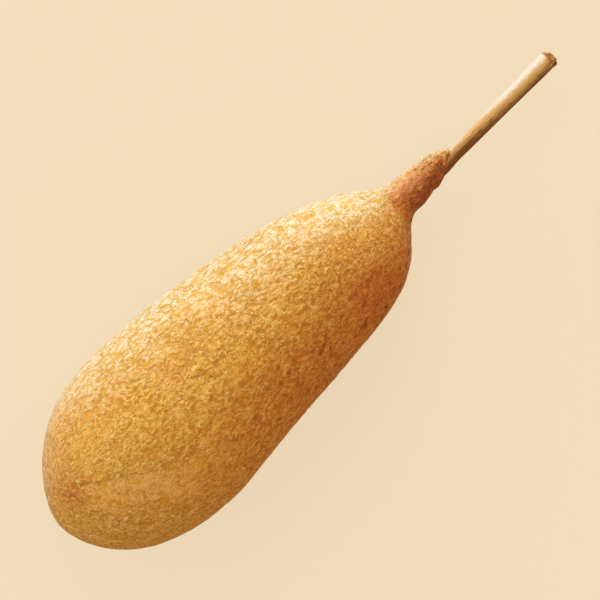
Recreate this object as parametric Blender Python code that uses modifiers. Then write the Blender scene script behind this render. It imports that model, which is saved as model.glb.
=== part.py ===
"""A corn dog lying on its side. Units are metres, and +Z is up.

The batter is one puffed body whose neck climbs a bamboo skewer. It is turned from a profile about
its own axis, given the bends and swellings of dipped and fried food, laid down, and cut flat where
it rests. The skewer tapers from its butt to its point and runs through the neck into the body, in a
bore that leaves a small gap round it.

Until it is laid down, every piece stands along +Z with the blunt end of the batter at the bottom.
"""

import math

import bpy
from mathutils import Matrix, Vector

# The body of the batter, measured along its axis from the blunt end
BODY_RADIUS = 0.02525
BODY_LENGTH = 0.1172  # to the point where the shoulder would close on the axis
WIDEST_AT = 0.0400
BLUNT_POWER = 2.6
BLUNT_ROOT = 1.65
TAPER = 0.35  # share of the radius lost between the widest place and the shoulder
SHOULDER_POWER = 6.4

# The neck of batter round the skewer
NECK_RADIUS = 0.0055
NECK_LENGTH = 0.0203
NECK_NARROWING = 0.0024
NECK_END_POWER = 4.6
JOINT_SHARPNESS = 6.0  # how tightly the shoulder turns into the neck

# Bends of the centreline: (place along the axis, shift, reach along the axis)
SIDE_BENDS = (
    (0.005, -0.0008, 0.0095),
    (0.059, 0.0006, 0.0160),
    (0.104, -0.0011, 0.0125),
    (0.128, 0.0003, 0.0080),
)
FRONT_BENDS = ((0.018, 0.0004, 0.0200), (0.080, -0.0006, 0.0220))

# Soft swellings of the surface: (height, swellings round the body, distance between them, phase).
# They leave the two side lines of the body as they are.
BODY_WAVES = ((0.00030, 2, 0.082, 0.6), (0.00020, 3, 0.051, 2.1), (0.00012, 5, 0.037, 4.0))
NECK_WAVES = ((0.00040, 2, 0.0130, 1.2), (0.00030, 3, 0.0080, 3.3))

# The skewer, measured from its point
SKEWER_LENGTH = 0.1400
SKEWER_BUTT_RADIUS = 0.00235
SKEWER_ROUNDING = 0.0004
SKEWER_MIDDLE = (0.1060, 0.00178)  # (distance from the point, radius)
SKEWER_POINT = (0.0140, 0.00120)
SKEWER_LEAN = math.radians(1.9)
SKEWER_TIP = Vector((-0.0045, 0.0004, 0.0310))
GAP = 0.0003

# How the food lies
REST_TILT = math.radians(5.0)  # the skewer's end lies this much lower than the blunt end
FLAT_DEPTH = 0.0008  # how much of the underside the resting face takes away
TABLE_SIDE = 0.4

# Steps of the round shapes
BATTER_STEPS = 60
SKEWER_STEPS = 28
BLUNT_RINGS = 14
BODY_RINGS = 26
NECK_RINGS = 13
ROUNDING_RINGS = 4

BATTER_COLOUR = (0.66, 0.34, 0.085)
SKEWER_COLOUR = (0.72, 0.50, 0.27)


def clear_scene():
    for obj in list(bpy.data.objects):
        bpy.data.objects.remove(obj)


def new_collection(name):
    collection = bpy.data.collections.new(name)
    bpy.context.scene.collection.children.link(collection)
    return collection


def new_material(name, colour, roughness):
    material = bpy.data.materials.new(name)
    material.use_nodes = True
    shader = material.node_tree.nodes["Principled BSDF"]
    shader.inputs["Base Color"].default_value = (*colour, 1.0)
    shader.inputs["Roughness"].default_value = roughness
    shader.inputs["Metallic"].default_value = 0.0
    return material


def body_radius(along):
    if along <= WIDEST_AT:
        share = (WIDEST_AT - along) / WIDEST_AT
        return BODY_RADIUS * (1 - share**BLUNT_POWER) ** (1 / BLUNT_ROOT)
    share = min((along - WIDEST_AT) / (BODY_LENGTH - WIDEST_AT), 1.0)
    return BODY_RADIUS * (1 - TAPER * share) * math.sqrt(1 - share**SHOULDER_POWER)


def neck_radius(along):
    if along <= WIDEST_AT:
        return 0.0
    share = min(max((along - BODY_LENGTH) / NECK_LENGTH, 0.0), 1.0)
    return (NECK_RADIUS - NECK_NARROWING * share) * math.sqrt(1 - share**NECK_END_POWER)


def batter_radius(along):
    """The body and the neck as one outline, with a small fillet where they meet."""
    powers = body_radius(along) ** JOINT_SHARPNESS + neck_radius(along) ** JOINT_SHARPNESS
    return powers ** (1 / JOINT_SHARPNESS)


def batter_profile():
    """(along, radius) points from the neck's end to the blunt end, closest at the tightest turns."""
    quarter = math.pi / 2
    blunt = [WIDEST_AT * (1 - math.cos(quarter * i / BLUNT_RINGS)) for i in range(BLUNT_RINGS)]
    span = BODY_LENGTH - WIDEST_AT
    body = [WIDEST_AT + span * math.sin(quarter * i / BODY_RINGS) for i in range(BODY_RINGS)]
    neck = [BODY_LENGTH + NECK_LENGTH * math.sin(quarter * i / NECK_RINGS) for i in range(NECK_RINGS + 1)]
    return [(along, batter_radius(along)) for along in reversed(blunt + body + neck)]


def skewer_profile(grown):
    """(along, radius) points from the butt to the point of a skewer thickened all round by grown."""
    top = SKEWER_LENGTH + grown
    corner = SKEWER_ROUNDING + grown
    butt = SKEWER_BUTT_RADIUS + grown
    rounding = [
        (top - corner * (1 - math.cos(angle)), butt - corner * (1 - math.sin(angle)))
        for angle in (math.pi / 2 * i / ROUNDING_RINGS for i in range(ROUNDING_RINGS + 1))
    ]
    shank = [(along, radius + grown) for along, radius in (SKEWER_MIDDLE, SKEWER_POINT)]
    return [(top, 0.0), *rounding, *shank, (-4 * grown, 0.0)]


def turned(name, profile, steps):
    """A solid of revolution about +Z, as a plain mesh object."""
    mesh = bpy.data.meshes.new(name + "_outline")
    points = [(radius, 0.0, along) for along, radius in profile]
    mesh.from_pydata(points, [(i, i + 1) for i in range(len(points) - 1)], [])
    outline = bpy.data.objects.new(name + "_outline", mesh)
    bpy.context.scene.collection.objects.link(outline)
    screw = outline.modifiers.new("turn", "SCREW")
    screw.axis = "Z"
    screw.steps = screw.render_steps = steps
    screw.use_merge_vertices = True
    screw.merge_threshold = 1e-6
    graph = bpy.context.evaluated_depsgraph_get()
    solid = bpy.data.meshes.new_from_object(outline.evaluated_get(graph))
    bpy.data.objects.remove(outline)
    solid.shade_smooth()
    return bpy.data.objects.new(name, solid)


def bend(bends, along):
    return sum(shift * math.exp(-(((along - place) / reach) ** 2)) for place, shift, reach in bends)


def swelling(waves, along, around):
    return sum(
        height * math.sin(count * around) * math.sin(math.tau * along / distance + phase)
        for height, count, distance, phase in waves
    )


def shape_batter(mesh):
    """Gives the turned batter its swellings and its bent centreline."""
    for vertex in mesh.vertices:
        x, y, along = vertex.co
        radius = math.hypot(x, y)
        around = math.atan2(y, x)
        on_neck = min(max((along - BODY_LENGTH) / NECK_LENGTH, 0.0), 1.0)
        clear_of_axis = min(radius / NECK_RADIUS, 1.0)
        swell = swelling(BODY_WAVES, along, around) * (1 - on_neck)
        swell += swelling(NECK_WAVES, along, around) * on_neck
        radius += swell * clear_of_axis
        vertex.co.x = bend(SIDE_BENDS, along) + radius * math.cos(around)
        vertex.co.y = bend(FRONT_BENDS, along) + radius * math.sin(around)


def make_batter(collection):
    batter = turned("batter", batter_profile(), BATTER_STEPS)
    shape_batter(batter.data)
    batter.data.materials.append(new_material("fried_batter", BATTER_COLOUR, 0.55))
    collection.objects.link(batter)
    return batter


def make_skewer(name, grown, collection):
    skewer = turned(name, skewer_profile(grown), SKEWER_STEPS)
    skewer.location = SKEWER_TIP
    skewer.rotation_euler = (0.0, SKEWER_LEAN, 0.0)
    collection.objects.link(skewer)
    return skewer


def make_table(collection):
    """A block below the resting plane, which cuts the flat face."""
    bpy.ops.mesh.primitive_cube_add(size=TABLE_SIDE, location=(0.0, 0.0, -TABLE_SIDE / 2))
    table = bpy.context.object
    table.name = "table"
    for owner in list(table.users_collection):
        owner.objects.unlink(table)
    collection.objects.link(table)
    return table


def cut(obj, cutter):
    cutter.hide_render = True
    cutter.display_type = "WIRE"
    difference = obj.modifiers.new(cutter.name, "BOOLEAN")
    difference.operation = "DIFFERENCE"
    difference.solver = "EXACT"
    difference.object = cutter


def corners(objects):
    """The lowest and highest corner of these objects together, as they are evaluated."""
    bpy.context.view_layer.update()
    graph = bpy.context.evaluated_depsgraph_get()
    points = []
    for obj in objects:
        evaluated = obj.evaluated_get(graph)
        points += [evaluated.matrix_world @ vertex.co for vertex in evaluated.data.vertices]
    lowest = Vector(min(point[i] for point in points) for i in range(3))
    highest = Vector(max(point[i] for point in points) for i in range(3))
    return lowest, highest


def lay_down(root, batter):
    """Turns the food onto its side, skewer towards +X, so that it dips FLAT_DEPTH below the table."""
    standing_to_lying = Matrix(((0, 0, 1), (1, 0, 0), (0, 1, 0))).to_4x4()
    root.matrix_world = Matrix.Rotation(REST_TILT, 4, "Y") @ standing_to_lying
    lowest, _ = corners([batter])
    root.location.z -= lowest.z + FLAT_DEPTH


def centre(root, pieces):
    """Brings the middle of the pieces' box over the origin."""
    lowest, highest = corners(pieces)
    middle = (lowest + highest) / 2
    root.location.x -= middle.x
    root.location.y -= middle.y


def main():
    clear_scene()
    parts = new_collection("corn_dog")
    cutters = new_collection("cutters")
    root = bpy.data.objects.new("lying", None)
    parts.objects.link(root)

    batter = make_batter(parts)
    skewer = make_skewer("skewer", 0.0, parts)
    skewer.data.materials.append(new_material("bamboo", SKEWER_COLOUR, 0.6))
    bore = make_skewer("bore", GAP, cutters)
    for piece in (batter, skewer, bore):
        piece.parent = root

    lay_down(root, batter)
    cut(batter, make_table(cutters))
    centre(root, (batter, skewer))
    cut(batter, bore)
    bpy.context.view_layer.update()


main()
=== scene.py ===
"""The looks of the corn dog: its fried crust, its crumbs and its bamboo skewer, on a plain pale floor.

The crust and the skewer are fine meshes worked out from the CAD solids that they stand for. Lengths
are in metres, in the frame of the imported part: +X towards the skewer's butt and +Z up. The patterns
on the surfaces are the exception: their sizes are in millimetres.
"""

import math

import bmesh
import bpy
import numpy as np
from mathutils import Matrix, Vector, noise


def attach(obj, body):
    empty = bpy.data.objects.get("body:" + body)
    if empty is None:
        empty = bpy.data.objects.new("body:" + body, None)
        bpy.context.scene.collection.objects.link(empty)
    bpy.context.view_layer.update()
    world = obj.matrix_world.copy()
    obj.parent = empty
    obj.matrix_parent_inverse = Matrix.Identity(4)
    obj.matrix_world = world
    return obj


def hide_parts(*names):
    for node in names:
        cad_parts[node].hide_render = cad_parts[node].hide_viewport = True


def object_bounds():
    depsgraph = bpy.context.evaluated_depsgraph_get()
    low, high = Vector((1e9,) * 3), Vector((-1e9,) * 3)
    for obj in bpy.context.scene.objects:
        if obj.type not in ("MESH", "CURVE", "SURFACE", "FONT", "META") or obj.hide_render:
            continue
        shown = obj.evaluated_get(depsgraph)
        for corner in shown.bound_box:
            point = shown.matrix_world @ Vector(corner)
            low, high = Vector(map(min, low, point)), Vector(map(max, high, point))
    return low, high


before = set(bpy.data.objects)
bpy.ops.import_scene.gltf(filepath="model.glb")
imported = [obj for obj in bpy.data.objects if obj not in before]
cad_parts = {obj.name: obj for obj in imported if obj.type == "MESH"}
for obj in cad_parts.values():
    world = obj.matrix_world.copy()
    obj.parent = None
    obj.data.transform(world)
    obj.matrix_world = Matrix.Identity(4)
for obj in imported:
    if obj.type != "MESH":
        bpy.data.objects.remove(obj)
cad_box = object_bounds()

MM = 0.001

# How the food lies: its axis dips this much towards the skewer's butt
LYING_TILT = math.radians(5)
AXIS = np.array((math.cos(LYING_TILT), 0.0, -math.sin(LYING_TILT)))
SIDE = np.array((0.0, 1.0, 0.0))
FRONT = np.array((math.sin(LYING_TILT), 0.0, math.cos(LYING_TILT)))

# Places along the axis, from the blunt end
NECK_START = 115 * MM
NECK_END = 137 * MM
WHOLE_LENGTH = 171 * MM

# The plug that fills the bore's mouth: its length, how far inside the neck it ends, and how much
# wider than the skewer it is
PLUG_LENGTH = 25 * MM
PLUG_INSET = 0.5 * MM
PLUG_MARGIN = 0.42 * MM

# The crust's mesh: the size of its faces, and how often it is smoothed
CRUST_VOXEL = 0.485 * MM
CRUST_ROUNDS = 24

# How far the neck's end is drawn back on its shaded side, and thinned on its lit side
COLLAR_SLANT = 5.5 * MM
COLLAR_ROUNDING = 0.3 * MM

# Waves of the skin towards the lit side, for its lit and its shaded half: the middle of each along
# the axis, its reach and its height, in millimetres
LIT_HILLS = ((78, 28, 0.45), (114.5, 1.8, 0.35), (117, 3.5, 0.60), (123, 2, 0.18), (132, 2.8, 0.45))
SHADED_HILLS = ((113, 1.5, 0.30), (119, 2.4, 0.87), (123, 2, 0.12), (132, 2.4, -0.47))

# The crust's pattern: how much longer it is along the food, and how wide its cells are, in millimetres
STRETCH = 1.5
SCALE, FLAKE, PLATE, CRACKED = 0.7, 1.5, 3.2, 4.4

# The long rift near the blunt end: a place on its line, how steeply the line runs back to the shaded
# side, and what makes distances beside it square to it
RIFT_ALONG, RIFT_SIDE = 21 * MM, -2 * MM
RIFT_SLOPE = 0.62
RIFT_SQUARE = 0.85
NO_RIFT = 9.0  # the distance in millimetres that is stored where the rift isn't near

# Patches of the skin: the middle of each along the food and its reach, then the same to the lit
# side, in millimetres
END_SPOT = (9.5, 3.5, 3, 3)
SHOULDER_SPOT = (98, 5, -12, 4)
# The next four make the skin paler or less pale, which is mostly painted highlight: more at the blunt
# end and on the crown, less on the flank and the shoulder
PALER_END = (24, 8, 3, 9)
HIGHLIGHT_CROWN = (79, 10, 10, 8)
DIMMER_FLANK = (54, 15, 13, 4.5)
DIMMER_SHOULDER = (100, 12, 0, 7)
TOASTED_END = (18, 8, -7, 6)
TOASTED_SHOULDER = (100, 9, -1, 6)

# The crumbs: their number, their least and greatest radius in millimetres, how deep they sit as a
# share of that, and how pale, brown and dark they are beside the skin that they sit on, painted light
# included
CRUMB_COUNT = 90
CRUMB_SIZES = (0.20, 0.50)
CRUMB_DEPTH = 0.35
CRUMB_SHARES = {"pale": 1.0, "browned": 1.1, "burnt": 0.65}

# The skewer: how much of it is bare, how far that sits to the lit side, how far its cut end goes past
# the solid's, how much longer than wide its fibres are, and the points around it
SKEWER_BARE = 34 * MM
SKEWER_ASIDE = 0.28 * MM
SKEWER_PAST = 0.35 * MM
FIBRE_STRETCH = 18
SKEWER_AROUND = 96

# Colours of the fried skin, from its hollows to its ridges: partly its own colour, partly painted shade
# in the hollows and painted highlight on the ridges
AMBER = (0.57, 0.228, 0.008)
GOLD = (0.745, 0.374, 0.027)
STRAW = (0.84, 0.55, 0.130)

# The same where the skin is paler: mostly painted highlight and sheen where it faces the light, partly
# a paler skin; and of the creases there, darker partly as painted shade
HONEY = (0.73, 0.470, 0.040)
CREAM = (0.95, 0.83, 0.71)
OCHRE = (0.63, 0.310, 0.026)

# Colours of its painted glints, fine pale flecks that stand in for glints of light, and of its dimples
PAINTED_GLINT = (1.00, 0.78, 0.31)
ORANGE = (0.61, 0.275, 0.008)

# What is left of those where the skin is fully brown, and fully dark: partly its own browning and
# charring, partly painted shade away from the light
BROWNED_AND_SHADED = (0.81, 0.425, 0.33)
BURNT_AND_SHADED = (0.50, 0.37, 0.33)

# Colours of the bamboo, from where oil has soaked in and painted shade on the side away from the light,
# through its tan wood, to painted highlight on its lit side; and of its cut end
SOAKED_AND_SHADED = (0.18, 0.060, 0.008)
TAN = (0.56, 0.310, 0.092)
BAMBOO_HIGHLIGHT = (0.68, 0.575, 0.475)
TINGED = (0.52, 0.255, 0.060)
STAIN = (0.20, 0.050, 0.008)

# The floor's colour, and how much of it is the floor's own light and how much is lit
FLOOR = (0.871, 0.716, 0.503)
FLOOR_GLOW = 0.845
FLOOR_LIT = 0.16

# The light from all around, away from and towards the lit side, and the same as the food mirrors it
SKY_DIM, SKY_BRIGHT = (0.50, 0.41, 0.315), (1.24, 1.18, 1.08)
ROOM_DIM, ROOM_BRIGHT = (0.34, 0.16, 0.06), (1.00, 0.96, 0.88)
DAYLIGHT = (1.0, 0.98, 0.95)


# ---------------------------------------------------------------- meshes


def smoothstep(low, high, value):
    share = np.clip((value - low) / (high - low), 0.0, 1.0)
    return share * share * (3 - 2 * share)


def hill(value, centre, width):
    return np.exp(-(((value - centre) / width) ** 2))


def noise_at(points, size, seed):
    """Perlin noise from about -1 to 1, whose features are about size across."""
    shift = Vector((31.7 * seed, 11.3 * seed, 7.9 * seed))
    return np.array([noise.noise(Vector(point) / size + shift) for point in points])


def points_of(mesh):
    values = np.empty(len(mesh.vertices) * 3, dtype=np.float32)
    mesh.vertices.foreach_get("co", values)
    return values.reshape(-1, 3).astype(float)


def normals_of(mesh):
    values = np.empty(len(mesh.vertices) * 3, dtype=np.float32)
    mesh.vertex_normals.foreach_get("vector", values)
    return values.reshape(-1, 3).astype(float)


def set_points(mesh, points):
    mesh.vertices.foreach_set("co", points.astype(np.float32).ravel())
    mesh.update()


def store(mesh, name, values):
    attribute = mesh.attributes.new(name, "FLOAT", "POINT")
    attribute.data.foreach_set("value", values.astype(np.float32))


def store_places(mesh, name, points):
    attribute = mesh.attributes.new(name, "FLOAT_VECTOR", "POINT")
    attribute.data.foreach_set("vector", points.astype(np.float32).ravel())


def relaxed(mesh, rounds):
    """The mesh's points after this many rounds of moving each towards the middle of its neighbours."""
    edges = np.empty(len(mesh.edges) * 2, dtype=np.int32)
    mesh.edges.foreach_get("vertices", edges)
    first, second = edges.reshape(-1, 2).T
    points = points_of(mesh)
    size = len(points)
    neighbours = np.bincount(first, minlength=size) + np.bincount(second, minlength=size)
    for _ in range(rounds):
        middles = np.empty_like(points)
        for axis in range(3):
            line = points[:, axis]
            total = np.bincount(first, line[second], size) + np.bincount(second, line[first], size)
            middles[:, axis] = total / neighbours
        points = (points + middles) / 2
    return points


def evaluated_mesh(obj):
    """A mesh of the object with its modifiers applied. The object is removed."""
    graph = bpy.context.evaluated_depsgraph_get()
    mesh = bpy.data.meshes.new_from_object(obj.evaluated_get(graph))
    bpy.data.objects.remove(obj)
    return mesh


def new_object(name, mesh):
    obj = bpy.data.objects.new(name, mesh)
    bpy.context.scene.collection.objects.link(obj)
    return obj


def add_piece(name, mesh, material):
    piece = new_object(name, mesh)
    mesh.materials.clear()
    mesh.materials.append(material)
    mesh.shade_smooth()
    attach(piece, "root")
    return piece


# ---------------------------------------------------------------- nodes


class Nodes:
    """Adds nodes to a shader tree or a geometry tree, which share their textures and their sums."""

    def __init__(self, tree):
        self.tree = tree

    def add(self, kind, inputs=None, **settings):
        node = self.tree.nodes.new(kind)
        for name, value in settings.items():
            setattr(node, name, value)
        for name, value in (inputs or {}).items():
            self.feed(node.inputs[name], value)
        return node

    def feed(self, socket, value):
        if isinstance(value, bpy.types.NodeSocket):
            self.tree.links.new(value, socket)
        elif isinstance(value, tuple) and len(value) != len(socket.default_value):
            socket.default_value = (*value, 1.0)
        else:
            socket.default_value = value

    def math(self, operation, *values):
        node = self.add("ShaderNodeMath", operation=operation)
        for socket, value in zip(node.inputs, values):
            self.feed(socket, value)
        return node.outputs[0]

    def times(self, first, second):
        return self.math("MULTIPLY", first, second)

    def plus(self, first, *others):
        for other in others:
            first = self.math("ADD", first, other)
        return first

    def minus(self, first, second):
        return self.math("SUBTRACT", first, second)

    def step(self, value, low, high, start=0.0, end=1.0):
        """start up to low, end from high, and a smooth change between them."""
        node = self.add("ShaderNodeMapRange", interpolation_type="SMOOTHSTEP")
        for socket, given in zip(node.inputs, (value, low, high, start, end)):
            self.feed(socket, given)
        return node.outputs[0]

    def vector(self, operation, first, second):
        node = self.add("ShaderNodeVectorMath", operation=operation)
        self.feed(node.inputs[0], first)
        self.feed(node.inputs["Scale" if operation == "SCALE" else 1], second)
        return node.outputs["Value" if operation == "DOT_PRODUCT" else "Vector"]

    def noise(self, place, size, detail=2.0, output="Fac", roughness=0.5):
        inputs = {"Vector": place, "Scale": 1 / size, "Detail": detail, "Roughness": roughness}
        return self.add("ShaderNodeTexNoise", inputs).outputs[output]

    def ridged(self, place, size, detail, roughness):
        """Sharp meandering ridges and the finer ones on them: from about 0.3 in the hollows to 2."""
        node = self.add("ShaderNodeTexNoise", noise_type="RIDGED_MULTIFRACTAL", normalize=False)
        inputs = {"Vector": place, "Scale": 1 / size, "Detail": detail, "Roughness": roughness}
        for name, value in {**inputs, "Offset": 1.0, "Gain": 2.0}.items():
            self.feed(node.inputs[name], value)
        return node.outputs["Fac"]

    def cells(self, place, size, output, feature="F1"):
        inputs = {"Vector": place, "Scale": 1 / size}
        return self.add("ShaderNodeTexVoronoi", inputs, feature=feature).outputs[output]

    def shaken(self, place, size, reach):
        """The place moved by up to about reach, so that what is read there looks less regular."""
        away = self.vector("SUBTRACT", self.noise(place, size, 2.0, "Color"), (0.5, 0.5, 0.5))
        return self.vector("ADD", place, self.vector("SCALE", away, 2.0 * reach))

    def mix(self, factor, first, second, way="MIX"):
        """A mix of two colours."""
        node = self.add("ShaderNodeMix", data_type="RGBA", blend_type=way)
        colours = [socket for socket in node.inputs if socket.bl_idname == "NodeSocketColor"]
        for socket, value in zip((node.inputs[0], *colours), (factor, first, second)):
            self.feed(socket, value)
        return next(socket for socket in node.outputs if socket.bl_idname == "NodeSocketColor")


# ---------------------------------------------------------------- the crust's pattern


class Crinkles:
    """The ridges, flakes and grains of the fried skin, read at places in millimetres.

    The geometry nodes that raise the crust and the shader that colours it both read it, so that
    its relief and its colours agree. Heights are in millimetres.
    """

    def __init__(self, nodes, place, smooth, coarse, rift):
        self.nodes = nodes
        self.coarse = coarse
        self.fine = nodes.plus(nodes.times(coarse, -0.4), 1.4)
        along = nodes.vector("DOT_PRODUCT", place, tuple(AXIS))
        shorter = nodes.vector("SCALE", tuple(AXIS), nodes.times(along, 1 / STRETCH - 1))
        self.place = nodes.vector("ADD", place, shorter)
        self.rough = nodes.minus(1.0, smooth)
        self.find_cells()
        self.find_spots()
        self.find_lines(smooth, rift)

    def find_cells(self):
        """The ridges, and the plates, flakes and scales that the skin is broken into."""
        nodes = self.nodes
        frayed = nodes.shaken(nodes.shaken(self.place, 3.0, 0.8), 0.5, 0.15)
        self.crumple = nodes.ridged(frayed, 1.3, 2.5, 0.6)
        self.flake_height, self.flake_chance = self.leaning(frayed, FLAKE)
        self.scale_height, self.scale_chance = self.leaning(frayed, SCALE)
        self.scale_crease = self.crease(frayed, SCALE, 0.16)
        self.flake_crease = nodes.times(self.crease(frayed, FLAKE, 0.24), self.some(1.6, 0.40, 0.60))
        self.plate_crease = nodes.times(self.crease(frayed, PLATE, 0.30), self.some(2.4, 0.42, 0.56))

    def find_spots(self):
        """The finest grain, the pale flecks that are painted glints, and the smooth dimples."""
        self.grain = self.nodes.noise(self.place, 0.30, 2.0, roughness=0.6)
        # Flecks that the shader colours as painted glints, and that the bump raises a little
        self.dot = self.some(0.75, 0.61, 0.73)
        self.dimple = self.some(3.0, 0.64, 0.74)

    def find_lines(self, smooth, rift):
        """The cracks in the smooth skin, the long rift beside it, and a few folds."""
        nodes = self.nodes
        bent = nodes.shaken(nodes.shaken(self.place, 3.0, 1.2), 0.7, 0.2)
        crack = nodes.times(self.crease(bent, CRACKED, 0.22), nodes.step(smooth, 0.15, 0.7))
        self.crack = nodes.times(crack, self.some(1.8, 0.42, 0.56))
        wander = nodes.times(nodes.minus(nodes.noise(self.place, 2.2, 2.0), 0.5), 3.6)
        self.rift = self.line(nodes.plus(rift, wander), 0.04, 0.24)
        level = nodes.noise(nodes.shaken(self.place, 1.2, 0.25), 4.0, 1.0)
        fold = self.line(nodes.minus(level, 0.5), 0.0, 0.022)
        self.fold = nodes.times(fold, self.some(2.2, 0.50, 0.60))

    def some(self, size, low, high):
        """1 in patches about size across and 0 elsewhere. Higher limits make smaller patches."""
        return self.nodes.step(self.nodes.noise(self.place, size, 1.0), low, high)

    def line(self, value, low, high):
        """1 where the value is within low of 0, and 0 where it is past high."""
        return self.nodes.step(self.nodes.math("ABSOLUTE", value), low, high, 1.0, 0.0)

    def crease(self, place, size, width):
        """1 in the middle of the creases between cells, and 0 from width on, in millimetres."""
        edge = self.nodes.cells(place, size, "Distance", "DISTANCE_TO_EDGE")
        return self.nodes.step(edge, 0.0, width / size, 1.0, 0.0)

    def leaning(self, place, size):
        """The height of flat cells that lean, each its own way, and a chance from 0 to 1 for each."""
        nodes = self.nodes
        cell = nodes.add("ShaderNodeTexVoronoi", {"Vector": place, "Scale": 1 / size}, feature="F1")
        from_middle = nodes.vector("SUBTRACT", place, cell.outputs["Position"])
        lean = nodes.vector("SUBTRACT", cell.outputs["Color"], (0.5, 0.5, 0.5))
        parts = nodes.add("ShaderNodeSeparateXYZ", {"Vector": cell.outputs["Color"]})
        return nodes.vector("DOT_PRODUCT", from_middle, lean), parts.outputs["X"]

    def height(self):
        """What the mesh can show of the relief."""
        nodes = self.nodes
        lumps = nodes.times(nodes.minus(nodes.noise(self.place, 4.5, 2.0), 0.5), 0.36)
        fine = nodes.plus(
            nodes.times(self.crumple, 0.07),
            nodes.times(self.flake_height, nodes.times(self.coarse, 0.30)),
            nodes.times(self.flake_crease, nodes.times(self.coarse, -0.06)),
            nodes.times(self.plate_crease, nodes.times(self.coarse, -0.06)),
        )
        fine = nodes.times(fine, nodes.plus(nodes.times(self.rough, 0.85), 0.15))
        marks = nodes.plus(
            nodes.times(self.dimple, -0.08),
            nodes.times(self.crack, -0.10),
            nodes.times(self.rift, -0.16),
        )
        return nodes.plus(lumps, fine, marks, nodes.times(self.fold, 0.05), -0.06)

    def bump(self):
        """The relief that is too fine for the mesh."""
        nodes = self.nodes
        fine = nodes.plus(
            nodes.times(self.crumple, 0.17),
            nodes.times(self.scale_height, nodes.times(self.fine, 0.60)),
            nodes.times(self.flake_crease, nodes.times(self.coarse, -0.08)),
            nodes.times(self.plate_crease, nodes.times(self.coarse, -0.05)),
            nodes.times(self.scale_crease, -0.04),
            nodes.times(self.grain, 0.42),
            nodes.times(self.dot, 0.05),
            nodes.times(self.fold, 0.08),
        )
        share = nodes.plus(nodes.times(self.rough, 0.65), 0.35)
        return nodes.times(fine, nodes.times(share, nodes.minus(1.0, nodes.times(self.dimple, 0.5))))

    def tone(self):
        """How pale the skin is here, from 0 in its hollows to 1 on its palest ridges: partly its own
        colour, partly painted shade in the hollows, creases and cracks, and painted highlight on the
        ridges and folds.
        """
        nodes = self.nodes
        ridges = nodes.minus(self.crumple, 1.31)
        ridges = nodes.times(ridges, nodes.plus(nodes.times(self.coarse, 0.10), 0.39))
        flakes = nodes.plus(
            ridges,
            nodes.times(nodes.minus(self.flake_chance, 0.5), nodes.times(self.coarse, 0.28)),
            nodes.times(nodes.minus(self.scale_chance, 0.5), nodes.times(self.fine, 0.31)),
            nodes.times(self.flake_crease, nodes.times(self.coarse, -0.32)),
            nodes.times(self.plate_crease, nodes.times(self.coarse, -0.34)),
            nodes.times(self.scale_crease, nodes.times(self.fine, -0.14)),
            0.06,
        )
        flakes = nodes.times(flakes, nodes.plus(nodes.times(self.rough, 0.8), 0.2))
        grain = nodes.times(nodes.minus(self.grain, 0.5), 1.6)
        marks = nodes.plus(
            nodes.times(self.dimple, -0.15),
            nodes.times(self.crack, -0.60),
            nodes.times(self.rift, -0.80),
        )
        return nodes.plus(flakes, grain, marks, nodes.times(self.fold, 0.32), 0.5)


# ---------------------------------------------------------------- the skewer's line


class Skewer:
    """The straight line and the radius of the CAD skewer, read from its solid."""

    def __init__(self, solid):
        points = points_of(solid.data)
        low, high = points[:, 0].min(), points[:, 0].max()
        self.point = points[points[:, 0].argmin()]
        ring = (points[:, 0] > low + 20 * MM) & (points[:, 0] < high - 20 * MM)
        line = points[ring].mean(axis=0) - self.point
        self.direction = line / np.linalg.norm(line)
        along = (points - self.point) @ self.direction
        radius = np.linalg.norm(points - self.point - along[:, None] * self.direction, axis=1)
        order = np.lexsort((-radius, along))
        self.along, self.radius = along[order], radius[order]
        self.length = along.max()
        self.front = np.cross(self.direction, SIDE)
        self.front /= np.linalg.norm(self.front)
        self.side = np.cross(self.front, self.direction)

    def at(self, along):
        return self.point + along * self.direction

    def radius_at(self, along):
        return np.interp(along, self.along, self.radius)


# ---------------------------------------------------------------- the crust


def plug(start, end, radius):
    """A closed cylinder between two places, which fills the mouth of the skewer's bore."""
    mesh = bmesh.new()
    turn = Vector(end - start).to_track_quat("Z", "Y").to_matrix().to_4x4()
    bmesh.ops.create_cone(
        mesh,
        cap_ends=True,
        segments=40,
        radius1=radius,
        radius2=radius,
        depth=np.linalg.norm(end - start),
        matrix=Matrix.Translation((start + end) / 2) @ turn,
    )
    return mesh


def crust_skin(batter, skewer):
    """The batter's outside as one fine, even, smooth skin that closes on the skewer."""
    mouth = skewer.length - (WHOLE_LENGTH - NECK_END) - PLUG_INSET
    radius = skewer.radius_at(mouth) + PLUG_MARGIN
    shape = plug(skewer.at(mouth - PLUG_LENGTH), skewer.at(mouth), radius)
    shape.from_mesh(batter.data)
    mesh = bpy.data.meshes.new("crust_shape")
    shape.to_mesh(mesh)
    shape.free()
    source = new_object("crust_shape", mesh)
    remesh = source.modifiers.new("skin", "REMESH")
    remesh.mode = "VOXEL"
    remesh.voxel_size = CRUST_VOXEL * 1
    skin = evaluated_mesh(source)
    set_points(skin, shaped(relaxed(skin, CRUST_ROUNDS), skewer))
    return skin


def hills(along, rows):
    """The height in millimetres of these hills together. Each row is a middle, a reach and a height."""
    return sum(height * hill(along, middle * MM, reach * MM) for middle, reach, height in rows)


def shaped(points, skewer):
    """The skin with its waves, and with the neck's end drawn back on its shaded side."""
    along = points @ AXIS
    along -= along.min()
    lit = smoothstep(-2.5 * MM, 2.5 * MM, (points - skewer.point) @ skewer.side)
    shorter = COLLAR_SLANT * (1 - lit) * smoothstep(NECK_END - 17 * MM, NECK_END, along)
    thinner = COLLAR_ROUNDING * smoothstep(NECK_END - 12 * MM, NECK_END, along) * lit
    waves = lit * hills(along, LIT_HILLS) + (1 - lit) * hills(along, SHADED_HILLS)
    moved = points - shorter[:, None] * skewer.direction
    return moved + (waves * MM - thinner)[:, None] * skewer.side


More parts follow.
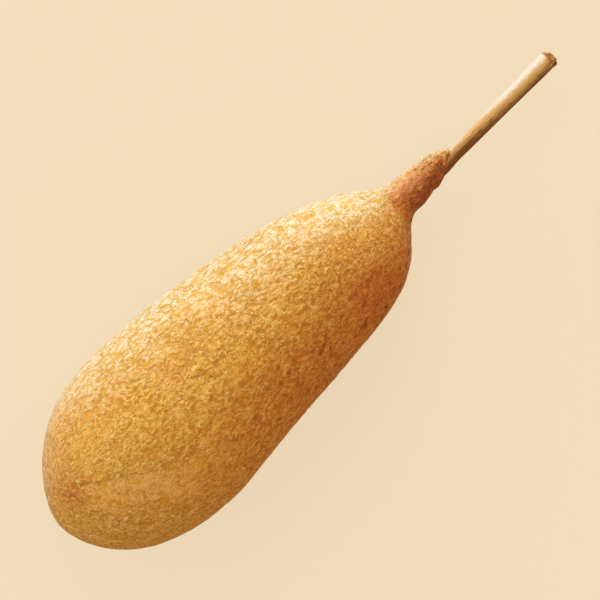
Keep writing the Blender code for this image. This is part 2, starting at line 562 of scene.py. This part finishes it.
class FryingAndPaintedLight:
    """What the fryer did to the skin at each of its points, and the painted highlight and painted shade
    on it, as shares from 0 to 1.

    Places along the food are from its blunt end. facing is 1 where the skin faces the lit side, and
    -1 where it faces away from it.
    """

    def __init__(self, skin):
        self.points, self.normals = points_of(skin), normals_of(skin)
        self.along = self.points @ AXIS
        self.along -= self.along.min()
        self.side = self.points @ SIDE
        self.front = self.points @ FRONT - (self.points @ FRONT).mean()
        self.shown = self.front > 0
        self.facing = self.normals @ SIDE
        self.find_zones()
        self.find_specks()
        self.find_rift()

    def ramp(self, start, end):
        """0 before start and 1 past end, along the food. The end may come before the start."""
        return smoothstep(start, end, self.along)

    def turned(self, start, end):
        """0 where the skin faces the lit side by less than start, and 1 where by more than end."""
        return smoothstep(start, end, self.facing)

    def patch(self, along, length, side, width):
        """1 in the middle of a patch of the skin, and less away from it. All are in millimetres."""
        return hill(self.along, along * MM, length * MM) * hill(self.side, side * MM, width * MM)

    def blots(self, size, seed, low, high):
        """1 in random blots about size across. Higher limits make smaller blots."""
        return smoothstep(low, high, noise_at(self.points, size, seed))

    def find_zones(self):
        """The zones of the body, and those of the neck."""
        self.shaded = self.turned(0.0, -1.0)
        # The shaded half of the body, which is made browner: partly real browning, partly painted shade
        self.toasted_and_shaded = smoothstep(6 * MM, -12 * MM, self.side) * self.ramp(12 * MM, 85 * MM)
        self.rim = self.ramp(16 * MM, 2 * MM) * self.turned(0.9, 0.2)
        # The lower blunt end, which faces away from the lamps: it is made less brown and paler, as
        # painted light
        self.heel = self.ramp(55 * MM, 20 * MM) * self.turned(0.0, -0.5)
        # The end of the body by the neck, where it faces the light: it is made paler and less brown, as
        # painted light
        self.cap = self.ramp(95 * MM, 112 * MM) * self.turned(-0.1, 0.5)
        self.neck = self.ramp(NECK_START - 4 * MM, NECK_END)
        self.collar = self.ramp(NECK_START - 1 * MM, NECK_START + 4 * MM)
        self.tip = self.ramp(NECK_END - 9 * MM, NECK_END - 2 * MM) * self.turned(-0.9, 0.3)
        self.bald = self.turned(0.25, 0.65) * self.turned(0.95, 0.75)
        self.bald *= hill(self.along, 122.5 * MM, 3.5 * MM)

    def find_specks(self):
        """Random blots, specks and grains, and the two spots that are stained."""
        self.patches = self.blots(9 * MM, 6, 0.1, 0.6)
        self.specks = self.blots(1.7 * MM, 9, 0.25, 0.55)
        self.sprinkle = self.blots(0.8 * MM, 17, 0.0, 0.40)
        self.grains = self.blots(0.9 * MM, 14, 0.15, 0.45)
        self.spot = self.patch(*END_SPOT) * smoothstep(0, 0.5, self.normals @ FRONT)
        self.spot += self.patch(*SHOULDER_SPOT) * self.shown

    def find_rift(self):
        """How far past the rift the skin is, in millimetres, and the wet skin beyond it."""
        line = RIFT_SIDE - RIFT_SLOPE * (self.along - RIFT_ALONG)
        past = RIFT_SQUARE * (line - self.side) / MM
        near = self.ramp(9 * MM, 12 * MM) * self.ramp(31 * MM, 27 * MM) * self.shown
        self.rift = np.where(near > 0.5, past, NO_RIFT * np.sign(past))
        wet = smoothstep(-0.2, 1.0, past) * smoothstep(10, 6, past) * self.ramp(39 * MM, 27 * MM)
        self.wet = 0.8 * wet * self.ramp(10 * MM, 14 * MM) * self.shown

    def smooth(self):
        """How smooth the skin is: where it is wet, in blots, and in a bald place on the neck."""
        body = np.clip(self.wet + 0.35 * self.patches + 0.10 * self.shaded, 0, 0.95)
        return np.clip(body * (1 - self.neck) + 0.25 * self.neck + self.bald, 0, 1)

    def coarse(self):
        """How wide and deep its flakes are: most in the middle of the food."""
        return (0.35 + 0.65 * self.ramp(10 * MM, 55 * MM)) * (1 - 0.6 * self.ramp(85 * MM, 108 * MM))

    def pale(self):
        """How pale it is: mostly painted highlight where it faces the light, weaker at the back, and
        partly a paler skin. Past 1 it is as pale as at 1.
        """
        # How much the skin faces the key light: the more it does, the paler it is made, as painted
        # highlight
        facing_light = self.normals @ (0.6 * AXIS + 0.8 * SIDE)
        blunt = self.ramp(22 * MM, 6 * MM) * self.turned(-0.6, 0.2)
        pale = np.clip((facing_light - 0.30) / 0.56, 0, 0.84)
        # The cap and the heel are made paler, as painted light
        pale = pale + 0.05 * blunt + 0.10 * self.cap + 0.07 * self.heel
        pale = pale + 0.14 * self.patch(*HIGHLIGHT_CROWN) + 0.06 * self.patch(*PALER_END)
        pale = pale - 0.15 * self.patch(*DIMMER_FLANK) - 0.05 * self.patch(*DIMMER_SHOULDER)
        pale = np.clip(pale * (1 - 0.8 * self.spot) + 0.10 * self.wet, 0, 1)
        # The painted highlight is weaker towards the back, and on the neck the next lines take its
        # place
        under = smoothstep(-16 * MM, -2 * MM, self.front)
        pale = pale * (1 - self.collar) * (0.3 + 0.7 * under)
        # The neck is made paler where it faces the light, as painted highlight
        pale = pale + self.collar * (0.80 * self.turned(0.50, 1.0) + 0.05 * self.grains)
        # and paler at its tip, partly as painted glints
        return pale + 0.25 * self.ramp(NECK_END - 9 * MM, NECK_END - 3 * MM) * self.turned(-0.2, 0.7)

    def browned(self):
        """How brown it is: partly real browning and partly painted shade on the shaded side and on the
        neck away from the light; in spots and specks; and less at the cap and the heel, as painted
        light.
        """
        # Browner on the shaded side and its lower half: partly real browning, partly painted shade
        body = (0.36 - 0.12 * self.heel) * self.shaded + 0.50 * self.toasted_and_shaded
        body = body + 0.04 * self.rim + 0.42 * self.spot + 0.04 * self.wet - 0.20 * self.cap
        body = body + 0.10 * self.patch(*TOASTED_END)
        body = body + 0.16 * self.patch(*TOASTED_SHOULDER) * self.shown
        body = body + 0.08 * self.blots(12 * MM, 8, 0.2, 0.9)
        specks = 0.40 * self.specks * (0.1 + 1.2 * self.toasted_and_shaded + 0.7 * self.rim)
        specks = specks + self.sprinkle * (0.90 * self.spot + 0.30 * self.heel)
        return np.clip(body + specks + self.browned_and_shaded_neck(), 0, 1)

    def browned_and_shaded_neck(self):
        # The neck: browner where it faces away from the light, partly real browning and partly painted
        # shade, and lighter at its tip, partly as painted glints
        band = self.turned(-0.2, 0.1) * self.turned(0.8, 0.4)
        grains = 0.9 * noise_at(self.points, 1.4 * MM, 4) - 0.40 * self.grains * (1 - self.bald)
        neck = 0.84 - 0.56 * self.facing - 0.62 * self.tip + 0.20 * band + grains
        return self.collar * neck + 0.34 * hill(self.along, 121 * MM, 3.5 * MM) * self.turned(0, 0.6)

    def burnt(self):
        """How dark it is: on the neck away from the light, partly charring and partly painted shade; in
        specks on the shaded side; and a little over all of the shaded shoulder.
        """
        # Darker where the neck faces away from the light: partly charring, partly painted shade
        charred_and_shaded = self.ramp(NECK_START + 1 * MM, NECK_START + 9 * MM) * self.turned(0.4, -0.9)
        edge = self.ramp(NECK_START + 1 * MM, NECK_START + 7 * MM) * self.turned(1.0, 0.7)
        neck = charred_and_shaded * (0.50 + 0.9 * noise_at(self.points, 1.2 * MM, 5))
        neck = neck + (0.36 - 0.20 * self.tip) * edge
        shoulder = self.ramp(70 * MM, 105 * MM) * self.shaded
        share = self.toasted_and_shaded * self.shaded + 0.8 * shoulder + 0.3 * self.spot
        return np.clip(neck + 0.60 * self.specks * share + 0.10 * shoulder, 0, 1)


def mark_skin(skin):
    """Stores where each point was, what the fryer did to the skin there, and the painted highlight and
    painted shade on it.
    """
    frying_and_light = FryingAndPaintedLight(skin)
    store_places(skin, "place", frying_and_light.points / MM)
    store(skin, "rift", frying_and_light.rift)
    store(skin, "smooth", frying_and_light.smooth())
    store(skin, "coarse", frying_and_light.coarse())
    store(skin, "pale", frying_and_light.pale())
    store(skin, "browned", frying_and_light.browned())
    store(skin, "burnt", frying_and_light.burnt())


def stored(nodes, name, kind):
    """What was stored on the mesh, in a geometry tree."""
    node = nodes.add("GeometryNodeInputNamedAttribute", {"Name": name}, data_type=kind)
    return node.outputs["Attribute"]


def raise_crinkles(skin):
    """Moves the skin's points along their normals by the pattern's height."""
    tree = bpy.data.node_groups.new("crinkled_crust", "GeometryNodeTree")
    tree.interface.new_socket("Geometry", in_out="INPUT", socket_type="NodeSocketGeometry")
    tree.interface.new_socket("Geometry", in_out="OUTPUT", socket_type="NodeSocketGeometry")
    nodes = Nodes(tree)
    given = nodes.add("NodeGroupInput").outputs["Geometry"]
    place = stored(nodes, "place", "FLOAT_VECTOR")
    shares = [stored(nodes, name, "FLOAT") for name in ("smooth", "coarse", "rift")]
    crinkles = Crinkles(nodes, place, *shares)
    normal = nodes.add("GeometryNodeInputNormal").outputs["Normal"]
    offset = nodes.vector("SCALE", normal, nodes.times(crinkles.height(), MM))
    moved = nodes.add("GeometryNodeSetPosition", {"Geometry": given, "Offset": offset})
    nodes.feed(nodes.add("NodeGroupOutput").inputs["Geometry"], moved.outputs["Geometry"])
    source = new_object("crust_skin", skin)
    source.modifiers.new("crinkles", "NODES").node_group = tree
    return evaluated_mesh(source)


def make_crust(material, skewer):
    skin = crust_skin(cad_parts["batter"], skewer)
    mark_skin(skin)
    mesh = raise_crinkles(skin)
    points = points_of(mesh)
    points[:, 2] = np.maximum(points[:, 2], 0.0)
    set_points(mesh, points)
    crust = add_piece("crust", mesh, material)
    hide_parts("batter")
    return crust


# ---------------------------------------------------------------- the crumbs


def crumb_spots(draw, points, normals):
    """The points of the crust that have a crumb: on the neck's lit side, and most near its end."""
    along = points @ AXIS
    along -= along.min()
    collar = smoothstep(NECK_START - 1 * MM, NECK_START + 5 * MM, along)
    chance = collar * (0.08 + smoothstep(NECK_END - 11 * MM, NECK_END - 3 * MM, along))
    chance *= smoothstep(-0.5, 0.3, normals @ SIDE)
    return draw.choice(len(points), CRUMB_COUNT, replace=False, p=chance / chance.sum())


def add_crumb(crumbs, draw, point, normal):
    """A lumpy grain that sits in the skin at this point."""
    size = draw.uniform(*CRUMB_SIZES) * MM
    stretch = Matrix.Diagonal((*draw.uniform(0.7, 1.4, 3), 1.0))
    turn = Matrix.Rotation(draw.uniform(0, math.tau), 4, Vector(draw.normal(size=3)).normalized())
    matrix = Matrix.Translation(point - normal * CRUMB_DEPTH * size) @ turn @ stretch
    made = bmesh.ops.create_icosphere(crumbs, subdivisions=2, radius=size, matrix=matrix)
    for vertex in made["verts"]:
        swell = 0.5 * noise.noise(vertex.co / (0.5 * MM))
        vertex.co += (vertex.co - Vector(point)) * swell


def mark_crumbs(mesh, draw, crust, spots):
    """Stores what the crust's material reads, from the skin that each crumb sits on."""
    size = len(mesh.vertices)
    store_places(mesh, "place", points_of(mesh) / MM)
    store(mesh, "smooth", np.zeros(size))
    store(mesh, "coarse", np.zeros(size))
    store(mesh, "rift", np.full(size, NO_RIFT))
    for name, share in CRUMB_SHARES.items():
        values = np.empty(len(crust.vertices), dtype=np.float32)
        crust.attributes[name].data.foreach_get("value", values)
        shades = values[spots] * draw.uniform(0.4, 1.2, CRUMB_COUNT) * share
        store(mesh, name, np.repeat(np.clip(shades, 0, 1), size // CRUMB_COUNT))


def make_crumbs(material, crust):
    """Grains of fried batter stuck to the neck, as one mesh."""
    draw = np.random.default_rng(7)
    points, normals = points_of(crust.data), normals_of(crust.data)
    spots = crumb_spots(draw, points, normals)
    crumbs = bmesh.new()
    for spot in spots:
        add_crumb(crumbs, draw, points[spot], normals[spot])
    mesh = bpy.data.meshes.new("crumbs")
    crumbs.to_mesh(mesh)
    crumbs.free()
    mark_crumbs(mesh, draw, crust.data, spots)
    return add_piece("crumbs", mesh, material)


# ---------------------------------------------------------------- the skewer


def lathe(rings, around):
    """A closed mesh over rings of this many points each, given one ring after the other."""
    count = len(rings) // around
    faces = []
    for ring in range(count - 1):
        for step in range(around):
            after = (step + 1) % around
            low, high = ring * around, (ring + 1) * around
            faces.append((low + step, high + step, high + after, low + after))
    faces.append(tuple(range(around)))
    last = (count - 1) * around
    faces.append(tuple(range(last + around - 1, last - 1, -1)))
    mesh = bpy.data.meshes.new("skewer_fibres")
    mesh.from_pydata(rings.tolist(), [], faces)
    mesh.update()
    return mesh


def skewer_grid(length, bare):
    """How far along the skewer and at which angle around it each point is, ring after ring."""
    alongs = np.concatenate((
        np.linspace(0, bare - 14 * MM, 12),
        np.linspace(bare - 12 * MM, length - 1.6 * MM, 200),
        np.linspace(length - 1.5 * MM, length + SKEWER_PAST, 20),
    ))
    angles = np.arange(SKEWER_AROUND) * math.tau / SKEWER_AROUND
    return (grid.ravel() for grid in np.meshgrid(alongs, angles, indexing="ij"))


def plain_radius(skewer, along, lit):
    """The solid's radius, and less than that on the lit side near the neck."""
    bare = skewer.length - SKEWER_BARE
    radius = np.maximum(skewer.radius_at(np.minimum(along, skewer.length - 0.01 * MM)), 0.02 * MM)
    return radius - 0.40 * MM * smoothstep(bare + 12 * MM, bare, along) * smoothstep(-0.2, 0.9, lit)


def cut_end(length, along, lit):
    """What the cut end adds to the radius: a burr on its shaded side, less its rounded edge."""
    burr = 0.14 * MM * hill(along, length - 0.6 * MM, 0.7 * MM) * smoothstep(0.2, -0.8, lit)
    edge = smoothstep(length - 1.3 * MM, length + SKEWER_PAST, along) ** 2
    return burr - 1.0 * MM * edge * (0.45 + 0.55 * smoothstep(-0.6, 0.8, lit))


def mark_skewer(mesh, length, along, lit):
    """Stores which way the bamboo faces, for its painted highlight and painted shade, how soaked with
    oil it is, how near its far end it is, where it is paler partly as painted highlight, and how
    stained it is.
    """
    bare = length - SKEWER_BARE
    # Which way round each point faces the light, for painted light and shade
    store(mesh, "lit", lit)
    store(mesh, "soaked", smoothstep(bare + 16 * MM, bare, along))
    # Paler towards the far end, partly as painted highlight
    store(mesh, "dry", smoothstep(bare + 14 * MM, bare + 22 * MM, along))
    reach = (1.0 + 0.8 * smoothstep(0.3, -0.6, lit)) * MM
    store(mesh, "stain", smoothstep(length - 1.7 * reach, length - 0.5 * reach, along))


def make_skewer(material, skewer):
    """The skewer with its fibres, its slight bow, and its cut end with a stain."""
    bare = skewer.length - SKEWER_BARE
    along, angle = skewer_grid(skewer.length, bare)
    lit, front = np.cos(angle), np.sin(angle)
    radius = plain_radius(skewer, along, lit)
    unrolled = np.stack((along / FIBRE_STRETCH, radius * lit, radius * front), axis=1)
    radius = radius + 0.04 * MM * noise_at(unrolled, 0.5 * MM, 3) * smoothstep(0, 1 * MM, radius)
    radius = radius + cut_end(skewer.length, along, lit)
    aside = SKEWER_ASIDE * smoothstep(bare - 5 * MM, bare, along)
    outward = lit[:, None] * skewer.side + front[:, None] * skewer.front
    points = skewer.point + along[:, None] * skewer.direction
    points = points + radius[:, None] * outward + aside[:, None] * skewer.side
    mesh = lathe(points, SKEWER_AROUND)
    store_places(mesh, "place", unrolled / MM)
    mark_skewer(mesh, skewer.length, along, lit)
    piece = add_piece("skewer_fibres", mesh, material)
    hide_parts("skewer")
    return piece


# ---------------------------------------------------------------- materials


def new_material(name):
    material = bpy.data.materials.new(name)
    material.use_nodes = True
    return material, Nodes(material.node_tree), material.node_tree.nodes["Principled BSDF"]


def attribute(nodes, name, output="Fac"):
    return nodes.add("ShaderNodeAttribute", attribute_name=name).outputs[output]


def bump(nodes, height, distance):
    inputs = {"Height": height, "Distance": distance, "Strength": 1.0}
    return nodes.add("ShaderNodeBump", inputs).outputs["Normal"]


def batter_material():
    material, nodes, shader = new_material("fried_batter")
    shares = [attribute(nodes, name) for name in ("smooth", "coarse", "rift")]
    crinkles = Crinkles(nodes, attribute(nodes, "place", "Vector"), *shares)
    pale, browned = attribute(nodes, "pale"), attribute(nodes, "browned")
    tone = crinkles.tone()
    # Darker in the hollows and paler on the ridges: partly the skin's own colour, partly painted shade
    # and painted highlight
    colour = nodes.mix(nodes.step(tone, 0.10, 0.60), AMBER, GOLD)
    colour = nodes.mix(nodes.step(tone, 0.50, 1.00), colour, STRAW)
    # Paler colours where the skin faces the light: mostly painted highlight and sheen, partly a paler
    # skin
    dry = nodes.mix(nodes.step(tone, 0.12, 0.78), HONEY, CREAM)
    creases = nodes.times(crinkles.flake_crease, 0.45)
    creases = nodes.plus(creases, nodes.times(crinkles.plate_crease, 0.75))
    # Darker in the creases there, partly as painted shade
    dry = nodes.mix(nodes.times(creases, crinkles.coarse), dry, OCHRE)
    colour = nodes.mix(pale, colour, dry)
    # Painted glints: fine pale flecks that stand in for glints of light
    painted_glints = nodes.times(crinkles.dot, nodes.plus(nodes.times(crinkles.rough, 0.50), 0.05))
    colour = nodes.mix(painted_glints, colour, PAINTED_GLINT)
    colour = nodes.mix(nodes.times(crinkles.dimple, 0.65), colour, ORANGE)
    # Browning with painted shade, then charring with painted shade, multiply the colour
    colour = nodes.mix(browned, colour, BROWNED_AND_SHADED, "MULTIPLY")
    colour = nodes.mix(attribute(nodes, "burnt"), colour, BURNT_AND_SHADED, "MULTIPLY")
    nodes.feed(shader.inputs["Base Color"], colour)
    nodes.feed(shader.inputs["Normal"], bump(nodes, crinkles.bump(), MM))
    nodes.feed(shader.inputs["Roughness"], nodes.step(crinkles.tone(), 0.2, 0.9, 0.26, 0.38))
    shader.inputs["Specular IOR Level"].default_value = 0.45
    shader.inputs["Specular Tint"].default_value = (1.0, 0.92, 0.75, 1.0)
    shader.inputs["Coat Weight"].default_value = 0.30
    shader.inputs["Coat Roughness"].default_value = 0.17
    return material


def bamboo_tone(nodes, place, fibres, streaks):
    """How bright the bamboo is: brighter on its lit side as painted highlight and darker on the other
    side as painted shade, paler towards its far end partly as painted highlight, and darkest where oil
    has soaked in.
    """
    dashes = nodes.noise(nodes.vector("MULTIPLY", place, (6.0, 1.0, 1.0)), 0.34, 2.0)
    soaked, lit = attribute(nodes, "soaked"), attribute(nodes, "lit")
    return nodes.plus(
        # Painted light and shade: lighter on the side that faces the light, darker on the side away
        # from it
        nodes.times(lit, 0.54),
        nodes.times(nodes.minus(fibres, 0.5), 0.6),
        nodes.times(nodes.minus(streaks, 0.5), nodes.plus(nodes.times(soaked, 0.7), 0.25)),
        nodes.times(nodes.minus(dashes, 0.5), 0.62),
        nodes.times(soaked, -0.38),
        nodes.times(attribute(nodes, "dry"), nodes.plus(nodes.times(lit, 0.14), 0.13)),
        0.40,
    )


def bamboo_material():
    material, nodes, shader = new_material("bamboo")
    place = attribute(nodes, "place", "Vector")
    fibres = nodes.noise(place, 0.15, 3.0)
    streaks = nodes.noise(place, 0.34, 3.0)
    tone = bamboo_tone(nodes, place, fibres, streaks)
    colour = nodes.mix(nodes.step(tone, -0.15, 0.55), SOAKED_AND_SHADED, TAN)
    # Painted highlight on the lit side
    colour = nodes.mix(nodes.step(tone, 0.55, 1.00), colour, BAMBOO_HIGHLIGHT)
    stain = attribute(nodes, "stain")
    colour = nodes.mix(nodes.step(stain, 0.0, 0.6), colour, TINGED)
    spots = nodes.noise(nodes.vector("MULTIPLY", place, (14.0, 1.0, 1.0)), 0.75, 1.0)
    colour = nodes.mix(nodes.times(stain, nodes.step(spots, 0.40, 0.52)), colour, STAIN)
    nodes.feed(shader.inputs["Base Color"], colour)
    nodes.feed(shader.inputs["Normal"], bump(nodes, fibres, 0.12 * MM))
    nodes.feed(shader.inputs["Roughness"], nodes.step(streaks, 0.3, 0.7, 0.34, 0.46))
    shader.inputs["Specular IOR Level"].default_value = 0.4
    shader.inputs["Specular Tint"].default_value = (1.0, 0.84, 0.62, 1.0)
    return material


def floor_material():
    material, _, shader = new_material("pale_floor")
    shader.inputs["Base Color"].default_value = (*(FLOOR_LIT * value for value in FLOOR), 1.0)
    shader.inputs["Roughness"].default_value = 1.0
    shader.inputs["Specular IOR Level"].default_value = 0.0
    shader.inputs["Emission Color"].default_value = (*FLOOR, 1.0)
    shader.inputs["Emission Strength"].default_value = FLOOR_GLOW
    return material


# ---------------------------------------------------------------- the studio


def make_floor():
    bpy.ops.mesh.primitive_plane_add(size=6.0)
    floor = bpy.context.object
    floor.name = "floor"
    floor.data.materials.append(floor_material())
    floor.visible_diffuse = False
    floor.visible_glossy = False


def middle_of_food():
    low, high = cad_box
    return (np.array(low) + np.array(high)) / 2


def add_light(name, direction, distance, size, power, colour):
    """A round soft light that shines on the food. direction is along it, to its side and in front."""
    light = bpy.data.lights.new(name, "AREA")
    light.shape = "DISK"
    light.size = size
    light.energy = power
    light.color = colour
    lamp = new_object(name, light)
    way = np.array(direction) @ np.array((AXIS, SIDE, FRONT))
    way /= np.linalg.norm(way)
    lamp.location = middle_of_food() + way * distance
    lamp.rotation_euler = Vector(-way).to_track_quat("-Z", "Y").to_euler()


def make_sky():
    """Soft light from all around, which grows from one side of the room to the other."""
    world = bpy.data.worlds.new("studio")
    world.use_nodes = True
    nodes = Nodes(world.node_tree)
    way = nodes.add("ShaderNodeTexCoord").outputs["Generated"]
    towards = np.array((0.12, 0.90, 0.40)) @ np.array((AXIS, SIDE, FRONT))
    share = nodes.vector("DOT_PRODUCT", way, tuple(towards / np.linalg.norm(towards)))
    share = nodes.plus(nodes.times(share, 0.5), 0.5)
    upright = nodes.math("ABSOLUTE", nodes.vector("DOT_PRODUCT", way, tuple(FRONT)))
    even = nodes.mix(share, SKY_DIM, SKY_BRIGHT)
    even = nodes.vector("SCALE", even, nodes.plus(nodes.times(upright, -0.87), 1.62))
    window = nodes.step(nodes.vector("DOT_PRODUCT", way, tuple(0.35 * AXIS + 0.94 * SIDE)), -0.25, 0.45)
    seen = nodes.mix(window, ROOM_DIM, ROOM_BRIGHT)
    mirrored = nodes.add("ShaderNodeLightPath").outputs["Is Glossy Ray"]
    background = world.node_tree.nodes["Background"]
    nodes.feed(background.inputs["Color"], nodes.mix(mirrored, even, seen))
    bpy.context.scene.world = world


def make_lights():
    make_sky()
    add_light("key", (0.50, 0.84, 0.12), 0.9, 0.5, 4.0, DAYLIGHT)
    add_light("sparkle", (0.35, 0.50, 0.78), 0.9, 0.25, 0.9, DAYLIGHT)
    bpy.context.scene.view_settings.view_transform = "Standard"


def make_camera():
    """Square to the food's axis and nearly overhead, with the skewer up to the right."""
    turn = math.radians(43.5)
    width = 150 * MM  # of what the picture shows, at the food's axis
    aim_along, aim_side = -2.25 * MM, -0.65 * MM
    camera = new_object("camera", bpy.data.cameras.new("camera"))
    camera.data.lens = 200
    camera.data.sensor_width = 36
    distance = width * camera.data.lens / camera.data.sensor_width
    target = middle_of_food() + aim_along * AXIS + aim_side * SIDE
    right = math.cos(turn) * AXIS - math.sin(turn) * SIDE
    up = math.sin(turn) * AXIS + math.cos(turn) * SIDE
    matrix = Matrix((right, up, FRONT)).transposed().to_4x4()
    matrix.translation = target + distance * FRONT
    camera.matrix_world = matrix
    camera.data.clip_start = 0.01
    bpy.context.scene.camera = camera


def main():
    skewer = Skewer(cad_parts["skewer"])
    batter = batter_material()
    crust = make_crust(batter, skewer)
    make_crumbs(batter, crust)
    make_skewer(bamboo_material(), skewer)
    make_floor()
    make_lights()
    make_camera()


main()
